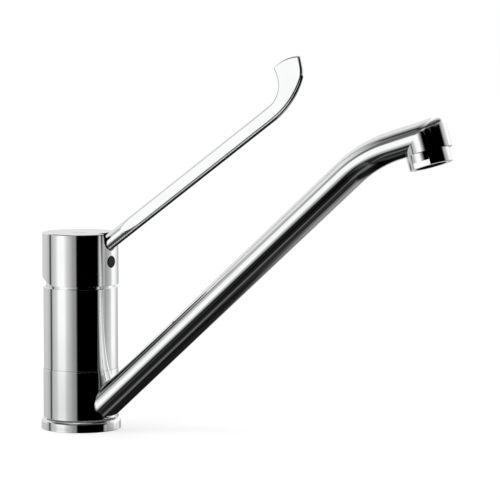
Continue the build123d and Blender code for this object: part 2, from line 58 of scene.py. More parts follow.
def lathe(outline, steps=144, closed=True):
    # outline: (radius, height, corner round), turned about the Z axis
    bm = bmesh.new()
    verts = [bm.verts.new((radius, 0, height)) for radius, height, corner in outline]
    for start, end in zip(verts, verts[1:]):
        bm.edges.new((start, end))
    if closed:
        bm.edges.new((verts[-1], verts[0]))
    rounds = {}
    for vert, (radius, height, corner) in zip(verts, outline):
        if corner:
            rounds.setdefault(corner, []).append(vert)
    for corner, group in rounds.items():
        bmesh.ops.bevel(bm, geom=group, offset=corner, offset_type="OFFSET", segments=5,
                        profile=0.5, affect="VERTICES", material=-1)
    bmesh.ops.spin(bm, geom=bm.verts[:] + bm.edges[:], cent=(0, 0, 0), axis=(0, 0, 1),
                   dvec=(0, 0, 0), angle=2 * pi, steps=steps, use_merge=True)
    bmesh.ops.remove_doubles(bm, verts=bm.verts, dist=0.002)
    bmesh.ops.recalc_face_normals(bm, faces=bm.faces)
    return bm


def rod(radius, low, high, segments=64, matrix=None):
    # A closed cylinder along local Z
    bm = bmesh.new()
    place = (matrix or Matrix()) @ Matrix.Translation((0, 0, (low + high) / 2))
    bmesh.ops.create_cone(bm, cap_ends=True, segments=segments, radius1=radius, radius2=radius,
                          depth=high - low, matrix=place)
    return bm


def brick(low, high, matrix=None):
    # A block between two corners of the matrix's own frame
    bm = bmesh.new()
    low, high = Vector(low), Vector(high)
    size = Matrix.Diagonal((*(high - low), 1))
    place = (matrix or Matrix()) @ Matrix.Translation((low + high) / 2) @ size
    bmesh.ops.create_cube(bm, size=1, matrix=place)
    return bm


def skin(rings):
    # rings: lists of points, every list as long; the first is grown from one to the next and both ends closed
    bm = bmesh.new()
    verts = bmesh.ops.create_circle(bm, cap_ends=False, radius=1, segments=len(rings[0]))["verts"]
    for vert, point in zip(verts, rings[0]):
        vert.co = point
    order = {vert: index for index, vert in enumerate(verts)}
    first = loop = bm.edges[:]
    for ring in rings[1:]:
        grown = bmesh.ops.extrude_edge_only(bm, edges=loop)["geom"]
        fresh = {}
        for vert in grown:
            if isinstance(vert, bmesh.types.BMVert):
                fresh[vert] = next(order[edge.other_vert(vert)] for edge in vert.link_edges
                                   if edge.other_vert(vert) in order)
        for vert, index in fresh.items():
            vert.co = ring[index]
        loop = [edge for edge in grown if isinstance(edge, bmesh.types.BMEdge)
                and edge.verts[0] in fresh and edge.verts[1] in fresh]
        order = fresh
    for end in (first, loop):
        bmesh.ops.contextual_create(bm, geom=end)
    bmesh.ops.recalc_face_normals(bm, faces=bm.faces)
    return bm


def heading(angle):
    # Direction at this angle up from level, in the side view
    return Vector((cos(angle), 0, sin(angle)))


def solidFrom(bm):
    mesh = bpy.data.meshes.new("part")
    bm.to_mesh(mesh)
    bm.free()
    solid = bpy.data.objects.new("part", mesh)
    bpy.context.scene.collection.objects.link(solid)
    return solid


def combine(bm, changes):
    # changes: ("DIFFERENCE", "UNION" or "INTERSECT", bmesh) done one after another
    solid = solidFrom(bm)
    tools = []
    for operation, shape in changes:
        tool = solidFrom(shape)
        change = solid.modifiers.new("cut", "BOOLEAN")
        change.operation = operation
        change.solver = "EXACT"
        change.object = tool
        tools.append(tool)
    bpy.context.view_layer.update()
    changed = solid.evaluated_get(bpy.context.evaluated_depsgraph_get())
    result = bpy.data.meshes.new_from_object(changed)
    for old in [solid] + tools:
        bpy.data.objects.remove(old)
    joined = bmesh.new()
    joined.from_mesh(result)
    bpy.data.meshes.remove(result)
    bmesh.ops.remove_doubles(joined, verts=joined.verts, dist=0.004)
    bmesh.ops.dissolve_degenerate(joined, edges=joined.edges, dist=0.004)
    return joined


def paintShadeInside(bm, isInside):
    # Faces deep inside take the piece's second material, a painted shade: dark dull chrome where shade falls
    # in the recess
    for face in bm.faces:
        if isInside(face.calc_center_median()):
            face.material_index = 1


def finishPiece(bm, name, body, nodes, material, edge=0.0, sharp=32, weighted=True):
    # Smooth shaded, edges broken where asked, riding on its body in place of its CAD nodes
    bmesh.ops.scale(bm, vec=(mm, mm, mm), verts=bm.verts)
    mesh = bpy.data.meshes.new(name)
    for face in bm.faces:
        face.smooth = True
    bm.to_mesh(mesh)
    bm.free()
    mesh.set_sharp_from_angle(angle=radians(sharp))
    piece = bpy.data.objects.new(name, mesh)
    bpy.context.scene.collection.objects.link(piece)
    mesh.materials.append(material)
    if edge:
        bevel = piece.modifiers.new("edges", "BEVEL")
        bevel.width = edge * mm
        bevel.segments = 3
        bevel.limit_method = "ANGLE"
        bevel.angle_limit = radians(sharp)
        bevel.use_clamp_overlap = True
    if weighted:
        weights = piece.modifiers.new("normals", "WEIGHTED_NORMAL")
        weights.keep_sharp = True
        weights.mode = "FACE_AREA"
    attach(piece, body)
    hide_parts(*nodes)
    return piece


# Materials

def newGroup(name, inputs, outputs):
    # A node group with plain numbers for sockets; inputs: names and starting values
    group = bpy.data.node_groups.new(name, "ShaderNodeTree")
    for label, value in inputs.items():
        socket = group.interface.new_socket(name=label, in_out="INPUT", socket_type="NodeSocketFloat")
        socket.default_value = value
    for label in outputs:
        group.interface.new_socket(name=label, in_out="OUTPUT", socket_type="NodeSocketFloat")
    return group


def setInputs(tree, node, inputs):
    # Another node's socket is linked; a number, a place or a colour is set
    for name, value in inputs.items():
        if isinstance(value, bpy.types.NodeSocket):
            tree.links.new(value, node.inputs[name])
        else:
            node.inputs[name].default_value = value


def addNode(tree, kind, label, inputs, **values):
    node = tree.nodes.new(kind)
    node.label = label
    for key, value in values.items():
        setattr(node, key, value)
    setInputs(tree, node, inputs)
    return node


def addMath(tree, label, operation, *values):
    # values: sockets or plain numbers; gives the socket of the result
    return addNode(tree, "ShaderNodeMath", label, dict(enumerate(values)), operation=operation).outputs[0]


wearPattern = {
    "smudgeDetail": 4, "patchFrom": 0.45, "patchTo": 0.75, "hairDetail": 2, "hairStretch": 0.06,
    "lineFrom": 0.62, "lineTo": 0.75, "dulling": 0.96, "reliefDepth": 0.00002,
}


def buildSurfaceWear(values):
    # Handling marks for every finish: faint smudges, and fine hairlines along the piece
    group = newGroup("surfaceWear", {
        "Smudge Scale": 60.0, "Hairline Scale": 900.0, "Roughness": 0.05, "Smudge": 0.03, "Hairlines": 0.02,
    }, ["Roughness", "Height", "Mask"])
    source = group.nodes.new("NodeGroupInput").outputs
    place = group.nodes.new("ShaderNodeTexCoord").outputs["Object"]
    smudge = addNode(group, "ShaderNodeTexNoise", "smudges", {
        "Vector": place, "Scale": source["Smudge Scale"], "Detail": values["smudgeDetail"]})
    patches = addNode(group, "ShaderNodeMapRange", "patches", {
        "Value": smudge.outputs["Fac"], "From Min": values["patchFrom"], "From Max": values["patchTo"],
    }).outputs["Result"]
    stretch = addNode(group, "ShaderNodeMapping", "along the piece", {
        "Vector": place, "Scale": (1, 1, values["hairStretch"])})
    hair = addNode(group, "ShaderNodeTexNoise", "hairlines", {
        "Vector": stretch.outputs["Vector"], "Scale": source["Hairline Scale"],
        "Detail": values["hairDetail"]})
    lines = addNode(group, "ShaderNodeMapRange", "only the strongest", {
        "Value": hair.outputs["Fac"], "From Min": values["lineFrom"], "From Max": values["lineTo"],
    }).outputs["Result"]
    smudged = addMath(group, "smudge amount", "MULTIPLY_ADD", patches, source["Smudge"], source["Roughness"])
    lined = addMath(group, "hairline amount", "MULTIPLY_ADD", lines, source["Hairlines"], smudged)
    setInputs(group, group.nodes.new("NodeGroupOutput"), {
        "Roughness": lined, "Height": lines, "Mask": patches})
    return group


surfaceWear = buildSurfaceWear(wearPattern)


def newFinish(name, color, metallic, wear, bump=0.0):
    # One Principled finish; wear holds the values of the shared wear group
    material = bpy.data.materials.new(name)
    material.use_nodes = True
    tree = material.node_tree
    marks = addNode(tree, "ShaderNodeGroup", "wear", wear, node_tree=surfaceWear).outputs
    duller = [value * wearPattern["dulling"] for value in color]
    shade = addNode(tree, "ShaderNodeMix", "duller where touched", {
        "Factor": marks["Mask"], "A": (*color, 1), "B": (*duller, 1)}, data_type="RGBA")
    surface = {"Metallic": metallic, "Roughness": marks["Roughness"], "Base Color": shade.outputs["Result"]}
    if bump:
        relief = addNode(tree, "ShaderNodeBump", "hairline relief", {
            "Strength": bump, "Distance": wearPattern["reliefDepth"], "Height": marks["Height"]})
        surface["Normal"] = relief.outputs["Normal"]
    setInputs(tree, tree.nodes["Principled BSDF"], surface)
    return material


chromePlate = newFinish("chromePlate", (0.965, 0.97, 0.975), 1.0,
                        {"Roughness": 0.03, "Smudge": 0.02, "Hairlines": 0.01})
# Painted shade: a near-black, dull chrome that stands in for the shade deep in the cap's slot and the
# aerator's mouth
paintedRecessShade = newFinish("paintedRecessShade", (0.012, 0.012, 0.013), 1.0,
                         {"Roughness": 0.35, "Smudge": 0.05, "Hairlines": 0.03})
blackPlug = newFinish("blackPlug", (0.006, 0.006, 0.0065), 0.0, bump=0.1, wear={
    "Roughness": 0.3, "Smudge": 0.08, "Hairlines": 0.05, "Smudge Scale": 300.0})
blackPlug.node_tree.nodes["Principled BSDF"].inputs["Specular IOR Level"].default_value = 0.22
sealRubber = newFinish("sealRubber", (0.022, 0.022, 0.024), 0.0, bump=0.2, wear={
    "Roughness": 0.62, "Smudge": 0.15, "Hairlines": 0.05, "Smudge Scale": 250.0})
paleAcetal = newFinish("paleAcetal", (0.78, 0.78, 0.76), 0.0, bump=0.1, wear={
    "Roughness": 0.35, "Smudge": 0.1, "Hairlines": 0.08, "Smudge Scale": 200.0})
greyAcetal = newFinish("greyAcetal", (0.36, 0.37, 0.38), 0.0, bump=0.1, wear={
    "Roughness": 0.4, "Smudge": 0.1, "Hairlines": 0.08, "Smudge Scale": 200.0})
blackAcetal = newFinish("blackAcetal", (0.03, 0.03, 0.03), 0.0, bump=0.1, wear={
    "Roughness": 0.4, "Smudge": 0.1, "Hairlines": 0.08, "Smudge Scale": 200.0})
lappedCeramic = newFinish("lappedCeramic", (0.88, 0.87, 0.84), 0.0, wear={
    "Roughness": 0.12, "Smudge": 0.05, "Hairlines": 0.02, "Smudge Scale": 200.0})
stainlessSteel = newFinish("stainlessSteel", (0.58, 0.585, 0.59), 1.0, bump=0.2, wear={
    "Roughness": 0.24, "Smudge": 0.08, "Hairlines": 0.1, "Smudge Scale": 300.0})
turnedBrass = newFinish("turnedBrass", (0.74, 0.55, 0.26), 1.0, bump=0.2, wear={
    "Roughness": 0.25, "Smudge": 0.12, "Hairlines": 0.1, "Smudge Scale": 150.0})

finishes = {
    "chrome": chromePlate, "rubber": sealRubber, "pale_acetal": paleAcetal, "grey_acetal": greyAcetal,
    "black_acetal": blackAcetal, "ceramic": lappedCeramic, "steel": stainlessSteel,
    "raw_brass": turnedBrass, "black_plastic": blackPlug,
}
for part in frame["record"]["subparts"]:
    mesh = frame["nodes"][part["node"]].data
    mesh.materials.clear()
    mesh.materials.append(finishes[part["material_slot"]])
print("finishes made")


# Foot ring, body and the domed nut in the joint under the cap

footRing = {
    "bore": 17.0, "edgeBreak": 0.1, "footBreak": 0.3, "edgeRound": 2.2,
    "grooveInner": 20.6, "grooveOuter": 24.0, "grooveDepth": 2.2,
    "seatInner": 17.3, "seatOuter": 22.6, "seatDepth": 0.6,
}


def makeFootRing(values):
    high = topCorner("base_ring")
    seat, fine = high.z - values["seatDepth"], values["edgeBreak"]
    outline = [
        (values["bore"], 0, fine), (values["grooveInner"], 0, fine),
        (values["grooveInner"], values["grooveDepth"], 0), (values["grooveOuter"], values["grooveDepth"], 0),
        (values["grooveOuter"], 0, fine), (high.x, 0, values["footBreak"]),
        (high.x, high.z, values["edgeRound"]), (values["seatOuter"], high.z, fine),
        (values["seatOuter"], seat, 0), (values["seatInner"], seat, 0),
        (values["seatInner"], high.z, 0), (values["bore"], high.z, fine),
    ]
    return finishPiece(lathe(outline), "foot_ring", "base", ["base_ring"], chromePlate)


bodyBarrel = {
    "spigotRadius": 17.0, "footBreak": 0.2, "shoulder": 40.1, "rimBreak": 0.06,
    "threadBore": 22.0, "boreBreak": 0.3, "chamber": 20.15, "seatHeight": 84.0, "chamberFloor": 58.0,
    "inletX": -2.0, "inletY": 9.2, "inletRadius": 5.0, "inletDepth": 9.5, "inletBore": 4.0,
    "inletBoreLow": 1.0, "studX": -9.5, "studRadius": 4.0, "studDepth": 14.5, "holeSegments": 48,
}


def makeBodyBarrel(values):
    high = topCorner("body")
    outline = [
        (0, 0, 0), (values["spigotRadius"], 0, values["footBreak"]),
        (values["spigotRadius"], values["shoulder"], 0), (high.x, values["shoulder"], values["rimBreak"]),
        (high.x, high.z, values["rimBreak"]), (values["threadBore"], high.z, values["boreBreak"]),
        (values["threadBore"], values["seatHeight"], 0), (values["chamber"], values["seatHeight"], 0),
        (values["chamber"], values["chamberFloor"], 0), (0, values["chamberFloor"], 0),
    ]
    holes = []
    for y in (-values["inletY"], values["inletY"]):
        holes.append((values["inletX"], y, values["inletRadius"], -past, values["inletDepth"]))
        holes.append((values["inletX"], y, values["inletBore"], values["inletBoreLow"],
                      values["chamberFloor"] + past))
    holes.append((values["studX"], 0, values["studRadius"], -past, values["studDepth"]))
    cuts = [("DIFFERENCE", rod(radius, bottom, top, values["holeSegments"], Matrix.Translation((x, y, 0))))
            for x, y, radius, bottom, top in holes]
    solid = combine(lathe(outline, closed=False), cuts)
    return finishPiece(solid, "body_barrel", "base", ["body"], chromePlate)


domeNut = {
    "domeRadius": 22.95, "pivotHeight": 92.0, "foot": 93.1, "band": 95.0, "top": 98.5, "domeSteps": 8,
    "bore": 15.05, "thread": 22.0, "seat": 84.2, "recess": 18.5, "recessFloor": 95.3, "recessBreak": 0.2,
    "slots": 6, "slotReach": 20.7, "slotHalf": 2.0,
}


def makeDomeNut(values):
    # Upright from its foot to the band, and a dome above it
    dome = []
    for step in range(values["domeSteps"] + 1):
        height = values["band"] + (values["top"] - values["band"]) * step / values["domeSteps"]
        reach = sqrt(values["domeRadius"] ** 2 - (height - values["pivotHeight"]) ** 2)
        dome.append((reach, height, 0))
    outline = [
        (values["bore"], values["seat"], 0), (values["thread"], values["seat"], 0),
        (values["thread"], values["foot"], 0), (dome[0][0], values["foot"], 0), *dome,
        (values["recess"], values["top"], values["recessBreak"]),
        (values["recess"], values["recessFloor"], 0), (values["bore"], values["recessFloor"], 0),
    ]
    cuts = []
    for index in range(values["slots"]):
        turn = Matrix.Rotation(index * 2 * pi / values["slots"], 4, "Z")
        cuts.append(("DIFFERENCE", brick(
            (values["recess"] - past, -values["slotHalf"], values["recessFloor"]),
            (values["slotReach"], values["slotHalf"], values["top"] + past), turn)))
    solid = combine(lathe(outline), cuts)
    return finishPiece(solid, "dome_nut", "base", ["cartridge_nut"], chromePlate)


makeFootRing(footRing)
makeBodyBarrel(bodyBarrel)
makeDomeNut(domeNut)
print("foot ring, body and nut made")


# Spout: swivel collar, oval arm over a knee, round head

spoutArm = {
    "axisHeight": -0.35, "slope": radians(40.45), "kneeX": 219.3, "endSlope": radians(17.3),
    "bend": 91.0, "bendSteps": 24, "halfHeight": 9.25, "halfWidth": 13.35, "segments": 128, "ovalFrom": 62.0,
    "rootBlend": 1.0, "rootSteps": 6, "rootDepth": 0.5, "blendSide": 0.6, "blendTop": 0.4,
}
swivelCollar = {
    "radius": 24.75, "low": 7.8, "high": 39.3, "lip": 40.05, "lipOuter": 24.6, "lipInner": 22.7,
    "bore": 17.08, "boreBreak": 0.2, "edgeBreak": 0.06, "edgeLoop": 0.4, "segments": 160,
}
spoutHead = {
    "seatX": 260.2, "axisDrop": 10.1, "radius": 13.75, "offset": 1.7, "topRound": 5.3, "roundSteps": 12,
    "footBreak": 0.2, "crownStart": 2.0, "crownShares": (0, 0.3, 0.6, 0.85), "wallShares": (0.3, 0.9),
    "nipple": 11.0, "nippleLength": 5.2,
}


def spoutKnee():
    arm = spoutArm
    return Vector((arm["kneeX"], 0, arm["axisHeight"] + arm["kneeX"] * tan(arm["slope"])))


def headFrame():
    # Seat of the aerator; local X points outwards along the arm, local Z up the head's axis
    arm, head = spoutArm, spoutHead
    along = heading(arm["endSlope"])
    up = Vector((-along.z, 0, along.x))
    knee = spoutKnee()
    centre = knee + along * ((head["seatX"] - knee.x) / cos(arm["endSlope"]))
    origin = Vector((head["seatX"], 0, centre.z - head["axisDrop"] / cos(arm["endSlope"])))
    return Matrix.Translation(origin) @ Matrix((along, (0, 1, 0), up)).transposed().to_4x4()


def armSection(turn, share):
    # Place across and up in the arm's section. A share of 0 is its oval, 1 is the head's own line, which is a
    # round drawn along a smaller oval
    arm, size = spoutArm, spoutHead["topRound"]
    wide, high = spoutHead["radius"] - size, arm["halfHeight"] - size
    normal = Vector((cos(turn) / wide, sin(turn) / high)).normalized()
    end = Vector((wide * cos(turn), high * sin(turn))) + normal * size
    oval = Vector((arm["halfWidth"] * cos(turn), arm["halfHeight"] * sin(turn)))
    return oval.lerp(end, share)


def ovalRing(centre, up, share=0.0):
    ring = []
    for index in range(spoutArm["segments"]):
        section = armSection(2 * pi * index / spoutArm["segments"], share)
        ring.append(centre + Vector((0, section.x, 0)) + up * section.y)
    return ring


def rootRings(arm, collar):
    # The arm's oval cut to the collar's round wall, with a small hollow blend round it. The first ring lies
    # inside the wall
    along = heading(arm["slope"])
    up = Vector((-along.z, 0, along.x))
    rings = []
    for step in range(-1, arm["rootSteps"] + 1):
        turn = pi / 2 * max(step, 0) / arm["rootSteps"]
        away = arm["rootBlend"] * (1 - cos(turn)) if step >= 0 else -arm["rootDepth"]
        flare = arm["rootBlend"] * (1 - sin(turn))
        ring = []
        for index in range(arm["segments"]):
            angle = 2 * pi * index / arm["segments"]
            grow = flare * (arm["blendSide"] + arm["blendTop"] * sin(angle))
            y = (arm["halfWidth"] + grow) * cos(angle)
            height = (arm["halfHeight"] + grow) * sin(angle)
            x = sqrt((collar["radius"] + away) ** 2 - y ** 2)
            travel = (x + height * sin(arm["slope"])) / cos(arm["slope"])
            ring.append(Vector((0, y, arm["axisHeight"])) + along * travel + up * height)
        rings.append(ring)
    return rings


def armRings(arm, head):
    # From the collar's wall straight up to the knee and round it, changing slowly into the head's line
    rings = rootRings(arm, swivelCollar)
    knee = spoutKnee()
    turn = arm["slope"] - arm["endSlope"]
    along, up = heading(arm["slope"]), heading(arm["slope"] + pi / 2)
    rings.append(ovalRing(along * arm["ovalFrom"] + Vector((0, 0, arm["axisHeight"])), up))
    centre = knee - along * arm["bend"] * tan(turn / 2) - up * arm["bend"]
    bent = arm["bend"] * turn
    toHead = (head["seatX"] - knee.x) / cos(arm["endSlope"]) - arm["bend"] * tan(turn / 2)
    straight = toHead + head["offset"] - head["radius"] - head["crownStart"]
    for step in range(arm["bendSteps"] + 1):
        up = heading(arm["slope"] - turn * step / arm["bendSteps"] + pi / 2)
        share = bent * step / arm["bendSteps"] / (bent + straight)
        rings.append(ovalRing(centre + up * arm["bend"], up, share * share * (3 - 2 * share)))
    return rings


def headRings(arm, head):
    # The arm's lines carried on along the crown, over the round in front and down the wall of the head.
    # Behind, they meet the wall in a crease
    wide, high, size = head["radius"], arm["halfHeight"], head["topRound"]
    foot, steps = -head["axisDrop"], head["roundSteps"]
    lines = []
    for index in range(arm["segments"]):
        turn = 2 * pi * index / arm["segments"]
        across, rise = cos(turn), sin(turn)
        section = armSection(turn, 1)
        if rise >= 0:
            crown = Vector((0, across / (wide - size), rise / (high - size))).normalized()
            spine = Vector(((wide - size) * rise, (wide - size) * across, (high - size) * rise))
            over = [spine + crown.slerp(Vector((rise, across, 0)), step / steps) * size
                    for step in range(steps + 1)]
        else:
            behind = -sqrt(max(wide ** 2 - section.x ** 2, 0))
            over = [Vector((behind, section.x, section.y))] * (steps + 1)
        start = Vector((-wide - head["crownStart"], section.x, section.y))
        line = [start.lerp(over[0], share) for share in head["crownShares"]] + over
        low = over[-1].copy()
        for share in head["wallShares"]:
            line.append(low - Vector((0, 0, share * (low.z - foot))))
        low.z = foot + head["footBreak"]
        line.append(low)
        line.append(Vector((low.x, low.y, 0)) * (1 - head["footBreak"] / wide) + Vector((0, 0, foot)))
        lines.append(line)
    place = headFrame() @ Matrix.Translation((head["offset"], 0, head["axisDrop"]))
    return [[place @ line[level] for line in lines] for level in range(len(lines[0]))]


def collarOutline(values):
    # A wall with loops beside its edges, and the thin lip that covers the slide ring in the joint above
    wall, low, high = values["radius"], values["low"], values["high"]
    return [
        (values["bore"], low, values["boreBreak"]), (wall, low, values["edgeBreak"]),
        (wall, low + values["edgeLoop"], 0), (wall, high - values["edgeLoop"], 0),
        (wall, high, values["edgeBreak"]), (values["lipOuter"], high, 0),
        (values["lipOuter"], values["lip"], 0), (values["lipInner"], values["lip"], 0),
        (values["lipInner"], high, 0), (values["bore"], high, values["boreBreak"]),
    ]


def makeSpout(arm, collar, head):
    tube = skin(armRings(arm, head) + headRings(arm, head))
    bmesh.ops.remove_doubles(tube, verts=tube.verts, dist=0.001)
    bmesh.ops.recalc_face_normals(tube, faces=tube.faces)
    ring = lathe(collarOutline(collar), steps=collar["segments"])
    nipple = rod(head["nipple"], -head["nippleLength"], past, matrix=headFrame())
    casting = combine(ring, [("UNION", tube), ("UNION", nipple)])
    return finishPiece(casting, "spout_casting", "spout", ["spout"], chromePlate, sharp=16,
                       weighted=False)


makeSpout(spoutArm, swivelCollar, spoutHead)
print("spout made")


# Aerator ring with its spanner flats

aerator = {
    "offset": -0.32, "radius": 13.5, "gap": 0.05, "height": 8.55, "edgeRound": 0.25, "topBreak": 0.12,
    "lip": 9.5, "lipHeight": 1.1, "lipBreak": 0.1, "mouthRound": 0.4, "thread": 11.0, "threadBreak": 0.2,
    "flat": 12.35, "flatHeight": 3.3, "flatTurn": 5.0, "flatSpan": 20.0, "edge": 0.08,
    # Where the painted shade inside the mouth begins
    "darkOver": 0.05, "darkBeside": 0.1,
}


def makeAeratorRing(values):
    low, high = -values["height"], -values["gap"]
    shelf = low + values["lipHeight"]
    outline = [
        (values["lip"], low, values["mouthRound"]), (values["radius"], low, values["edgeRound"]),
        (values["radius"], high, values["topBreak"]), (values["thread"], high, values["threadBreak"]),
        (values["thread"], shelf, 0), (values["lip"], shelf, values["lipBreak"]),
    ]
    cuts = []
    for side in (-1, 1):
        turn = Matrix.Rotation(radians(values["flatTurn"] + 90 * side), 4, "Z")
        cuts.append(("DIFFERENCE", brick(
            (values["flat"], -values["flatSpan"], low - past),
            (values["radius"] + 2 * past, values["flatSpan"], low + values["flatHeight"]), turn)))
    ring = combine(lathe(outline), cuts)
    # Painted shade inside the mouth, up to the thread's bore: these faces take the dark second material
    paintShadeInside(ring, lambda middle: middle.z > low + values["darkOver"]
                 and middle.xy.length < values["thread"] + values["darkBeside"])
    place = headFrame() @ Matrix.Translation((values["offset"], 0, 0))
    bmesh.ops.transform(ring, matrix=place, verts=ring.verts)
    shell = finishPiece(ring, "aerator_shell", "spout", ["aerator_ring"], chromePlate,
                        edge=values["edge"])
    # The second material is the painted shade inside the mouth
    shell.data.materials.append(paintedRecessShade)
    return shell


makeAeratorRing(aerator)
print("aerator made")


# Lever cap with its slanted heel, U slot, plug and cover disc

leverCap = {
    "radius": 25.0, "low": 95.0, "high": 129.0, "topRound": 0.8, "footBreak": 0.06, "edge": 0.22,
    "skirt": 23.35, "skirtTop": 102.0, "skirtBreak": 0.25, "bore": 21.8, "ceiling": 123.3,
    "boss": 9.5, "bossLow": 101.5, "bossBreak": 0.4, "web": 4.4, "webFrom": 2.0, "screwHeight": 110.6,
    "heelStart": 4.7, "heelAngle": radians(21), "heelLength": 60.0, "heelSpan": 40.0,
    "slotRadius": 6.75, "slotFloor": 118.0, "slotFrom": 18.8, "leverGap": 0.45, "leverGapReach": 7.0,
    "plugBore": 4.0, "plugDepth": 4.0, "coverBore": 6.0, "coverSeat": 127.8,
    # Where the painted shade in the U slot reaches
    "darkBehind": 6.0, "darkBeside": 0.02, "darkUnder": 0.3, "darkOver": -0.01, "darkInFront": -0.15,
}
indexPlug = {"radius": 3.98, "proud": 0.3, "round": 0.45}
coverDisc = {"radius": 5.95, "proud": 0.1, "round": 0.15}


def lyingAlongX(height):
    # Turns a rod along Z so that it lies along X at this height
    return Matrix.Translation((0, 0, height)) @ Matrix.Rotation(pi / 2, 4, "Y")


def makeLeverCap(values, lever):
    low, high, radius = values["low"], values["high"], values["radius"]
    outline = [
        (0, high, 0), (radius, high, values["topRound"]), (radius, low, values["footBreak"]),
        (values["skirt"], low, values["skirtBreak"]), (values["skirt"], values["skirtTop"], 0),
        (values["bore"], values["skirtTop"], 0), (values["bore"], values["ceiling"], 0),
        (values["boss"], values["ceiling"], 0), (values["boss"], values["bossLow"], values["bossBreak"]),
        (0, values["bossLow"], 0),
    ]
    slant = Matrix.Translation((-values["heelStart"], 0, low)) @ Matrix.Rotation(values["heelAngle"], 4, "Y")
    screwWay, slotHeight = lyingAlongX(values["screwHeight"]), values["slotFloor"] + values["slotRadius"]
    leverWay = (Matrix.Translation((lever["startX"], 0, lever["startZ"]))
                @ Matrix.Rotation(radians(90 - lever["slope"]), 4, "Y"))
    out = radius + 2 * past
    cuts = [
        ("UNION", rod(values["web"], values["webFrom"], radius - past, segments=48, matrix=screwWay)),
        ("DIFFERENCE", brick((-values["heelLength"], -values["heelSpan"], -values["heelSpan"]),
                             (0, values["heelSpan"], 0), slant)),
        ("DIFFERENCE", rod(values["slotRadius"], values["slotFrom"], out, matrix=lyingAlongX(slotHeight))),
        ("DIFFERENCE", brick((values["slotFrom"], -values["slotRadius"], slotHeight),
                             (out, values["slotRadius"], high + 2 * past))),
        ("DIFFERENCE", rod(lever["radius"] + values["leverGap"], -values["leverGapReach"],
                           values["leverGapReach"], matrix=leverWay)),
        ("DIFFERENCE", rod(values["plugBore"], radius - values["plugDepth"], out, matrix=screwWay)),
        ("DIFFERENCE", rod(values["coverBore"], values["coverSeat"], high + past, segments=96)),
    ]
    cap = combine(lathe(outline, closed=False, steps=160), cuts)
    # Painted shade: the slot's own walls take the dark second material, not the cap's outer wall and top
    # beside them
    paintShadeInside(cap, lambda middle: middle.x > values["slotFrom"] - values["darkBehind"]
                 and abs(middle.y) < values["slotRadius"] + values["darkBeside"]
                 and values["slotFloor"] - values["darkUnder"] < middle.z < high + values["darkOver"]
                 and middle.xy.length < radius + values["darkInFront"])
    shell = finishPiece(cap, "cap_shell", "lever", ["lever_cap"], chromePlate, edge=values["edge"])
    # The second material is the painted shade in the slot
    shell.data.materials.append(paintedRecessShade)
    return shell


def makeIndexPlug(values, cap):
    front, back = cap["radius"] + values["proud"], cap["radius"] - cap["plugDepth"]
    plug = lathe([(0, back, 0), (values["radius"], back, 0), (values["radius"], front, values["round"]),
                  (0, front, 0)], steps=64, closed=False)
    bmesh.ops.transform(plug, matrix=lyingAlongX(cap["screwHeight"]), verts=plug.verts)
    return finishPiece(plug, "index_button", "lever", ["index_plug"], blackPlug)


def makeCoverDisc(values, cap):
    seat, top = cap["coverSeat"], cap["high"] + values["proud"]
    disc = lathe([(0, seat, 0), (values["radius"], seat, 0), (values["radius"], top, values["round"]),
                  (0, top, 0)], steps=96, closed=False)
    return finishPiece(disc, "cap_disc", "lever", ["cover_disc"], chromePlate)


# Lever: a round rod pressed flat at its sides, bent upright and flared at its end. Past the flare's start,
# outer and inner are moves as trace takes them, for the middle of each rounded edge

leverRod = {
    "radius": 4.95, "slope": 34.6, "startX": 21.7, "startZ": 122.1, "edge": 0.3,
    "rear": 11.0, "elbow": 14.0, "elbowSteps": 8, "rootSteps": 2,
    "rootFront": 16.4, "rootTop": 123.15, "rootHalf": 6.0, "rootClear": 130.0,
    "pressHalf": 3.6, "pressBegin": 12.0, "pressFull": 32.0, "pressSteps": 16, "pressRun": 79.0,
    "pressRound": 1.3, "roundShare": 0.85, "widest": 0.9998,
    "edgeSteps": 20, "softSteps": 8, "settleSteps": 4,
    "flareStart": 153.3, "flatSteps": 8, "thinHeading": 85.0, "thinRate": 0.054,
    "outer": ((48.0, 36.0, 20), (9.0, 34.0, 8), (9.0, 0, 4)),
    "inner": ((3.1, 0, 2), (19.66, 81.4, 26), (9.0, 0, 4)),
    "tipX": 169.9, "tipZ": 217.4, "tipRadius": 28.4, "tipRound": 1.2, "innerRound": 2.5, "outerRound": 1.0,
    "tipSteps": 24, "tipTurns": (0, 8, 20, 35, 50, 65, 80, 80), "tipHalf": 8.0,
    "tipBounds": ((120, 240), (0, 180), (0, 60), (260, 60), (200, 232)),
}
leverTongue = {"rear": -7.0, "front": 12.5, "half": 4.1, "low": 117.3, "high": 123.3, "middle": 120.3,
               "screwRadius": 3.0, "screwLow": 118.4}


def trace(point, angle, moves):
    # Places and headings on a side view path; a move is (length, 0, steps) or an arc's (radius, turn, steps)
    path = [(Vector(point), angle)]
    for size, turn, steps in moves:
        start, facing = path[-1]
        inward = heading(radians(facing + 90))
        for step in range(1, steps + 1):
            if turn:
                now = facing + turn * step / steps
                path.append((start + inward * size - heading(radians(now + 90)) * size, now))
            else:
                path.append((start + heading(radians(facing)) * size * step / steps, facing))
    return path


def halfThickness(lever, point):
    # Half the space between the press tools at a place of the side view
    away = point - Vector((lever["startX"], 0, lever["startZ"]))
    distance = away.dot(heading(radians(lever["slope"])))
    reach = min(max(lever["pressFull"] - distance, 0.0), lever["pressFull"] - lever["pressBegin"])
    opening = lever["pressHalf"] + lever["pressRun"] - sqrt(lever["pressRun"] ** 2 - reach ** 2)
    bent = away - heading(radians(lever["slope"])) * lever["flareStart"]
    thinned = lever["pressHalf"] - lever["thinRate"] * bent.dot(heading(radians(lever["thinHeading"])))
    return min(opening, thinned, lever["widest"] * lever["radius"])


